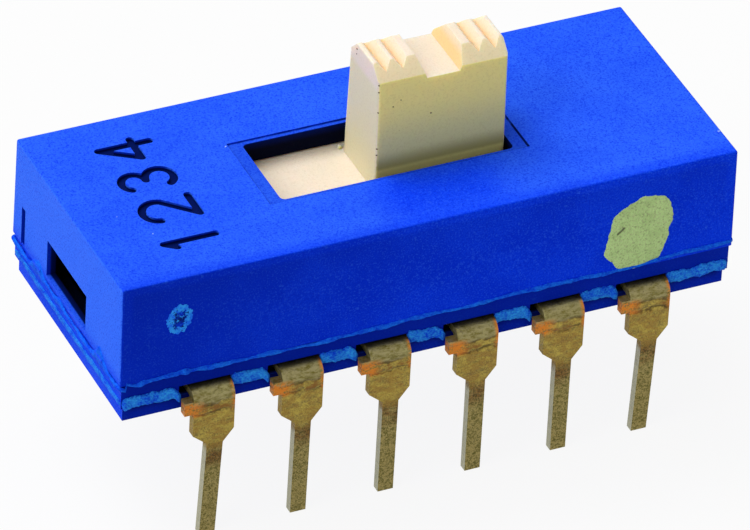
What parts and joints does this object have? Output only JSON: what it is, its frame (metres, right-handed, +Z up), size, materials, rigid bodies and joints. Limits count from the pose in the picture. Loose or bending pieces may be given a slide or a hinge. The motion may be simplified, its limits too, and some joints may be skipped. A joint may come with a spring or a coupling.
{
  "type": "slide switch",
  "caption": "Two-position slide switch in a blue moulded case with an ivory finger lever on top and two rows of flat leads for a circuit board.",
  "frame": {"origin": "under the middle of the case, on the plane of the twelve lead tips", "axes": "+X along the case towards the end where the lever rests, -Y the long side seen in the picture, +Z up, out of the lever"},
  "size_m": [0.018, 0.008, 0.0115],
  "materials": {
    "case": "fine matt moulded",
    "lever": "moulded, satin",
    "leads": "tarnished plating, bare copper at the sheared edges",
    "contacts": "bright spring strip",
    "steel": "bright"
  },
  "bodies": {
    "case": {"cover": "case", "base": "case", "front_lead_1": "leads", "front_lead_2": "leads", "front_lead_3": "leads", "front_lead_4": "leads", "front_lead_5": "leads", "front_lead_6": "leads", "back_lead_1": "leads", "back_lead_2": "leads", "back_lead_3": "leads", "back_lead_4": "leads", "back_lead_5": "leads", "back_lead_6": "leads"},
    "slider": {"slider": "lever", "front_left_contact": "contacts", "front_right_contact": "contacts", "back_left_contact": "contacts", "back_right_contact": "contacts", "front_detent_ball": "steel", "back_detent_ball": "steel", "detent_spring": "steel"}
  },
  "joints": [
    {"name": "lever_slide", "type": "slide", "parent": "case", "child": "slider", "axis": [1, 0, 0], "range_m": [-0.0027, 0]}
  ]
}
